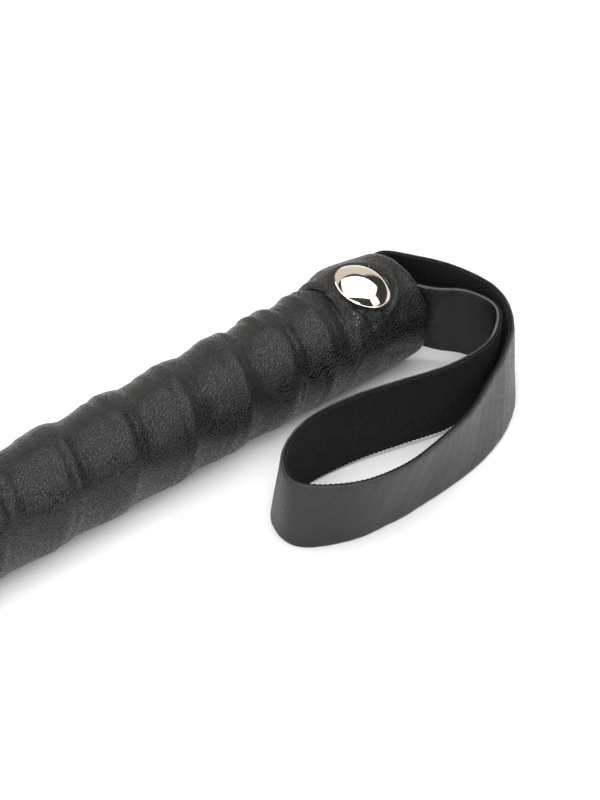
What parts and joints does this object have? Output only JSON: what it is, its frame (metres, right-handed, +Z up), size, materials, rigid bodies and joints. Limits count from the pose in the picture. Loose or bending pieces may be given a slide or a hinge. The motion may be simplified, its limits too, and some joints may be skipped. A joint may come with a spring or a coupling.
{
  "type": "riding crop",
  "caption": "Riding crop with a padded spiral leather grip, riveted wrist strap loop, braided shaft and folded leather tip.",
  "frame": {"origin": "below the middle of the whole object's box, on the surface that it lies on", "axes": "+X along the crop from the tip towards the butt, +Z up, the wrist loop on the -Y side"},
  "size_m": [0.6088, 0.0608, 0.0263],
  "materials": {
    "black_leather": "satin grained black leather",
    "strap_leather": "satin fine-grained black leather",
    "strap_backing": "black woven textile",
    "polished_nickel": "polished nickel plate",
    "core_wood": "bare turned beech",
    "foam": "soft black foam",
    "glass_fibre": "pultruded glass fibre",
    "braided_cover": "tight black waxed braid",
    "black_thread": "waxed black thread"
  },
  "bodies": {
    "handle": {"grip_core": "core_wood", "grip_foam": "foam", "grip_wrap": "black_leather", "butt_wrap": "black_leather", "rivet_cap": "polished_nickel", "rivet_post": "polished_nickel", "rivet_back": "polished_nickel", "tail_outer_leather": "strap_leather", "tail_outer_backing": "strap_backing", "tail_inner_leather": "strap_leather", "tail_inner_backing": "strap_backing", "shaft_rod": "glass_fibre", "shaft_braid": "braided_cover", "grip_ferrule": "black_leather", "grip_whipping": "black_thread", "tip_binding": "black_thread", "tip_root_upper": "black_leather", "tip_root_lower": "black_leather"},
    "wrist_loop": {"neck_outer_leather": "strap_leather", "neck_outer_backing": "strap_backing", "neck_inner_leather": "strap_leather", "neck_inner_backing": "strap_backing", "loop_leather": "strap_leather", "loop_backing": "strap_backing"},
    "tip": {"tip_neck_upper": "black_leather", "tip_neck_lower": "black_leather", "tip_flap": "black_leather", "tip_thread_upper": "black_thread", "tip_thread_lower": "black_thread"}
  },
  "joints": [
    {"name": "wrist_loop_swing", "type": "hinge", "parent": "handle", "child": "wrist_loop", "pos_m": [0.29059, 0.01636, 0.0115], "axis": [0, 0, 1], "range_deg": [-8, 90], "stiffness_Nm_per_rad": 0.01, "deforming": ["neck_outer_leather", "neck_outer_backing", "neck_inner_leather", "neck_inner_backing"]},
    {"name": "tip_flap_bend", "type": "hinge", "parent": "handle", "child": "tip", "pos_m": [-0.23241, 0.01736, 0.0115], "axis": [0, 1, 0], "range_deg": [-60, 60], "stiffness_Nm_per_rad": 0.08, "deforming": ["tip_neck_upper", "tip_neck_lower"]}
  ]
}
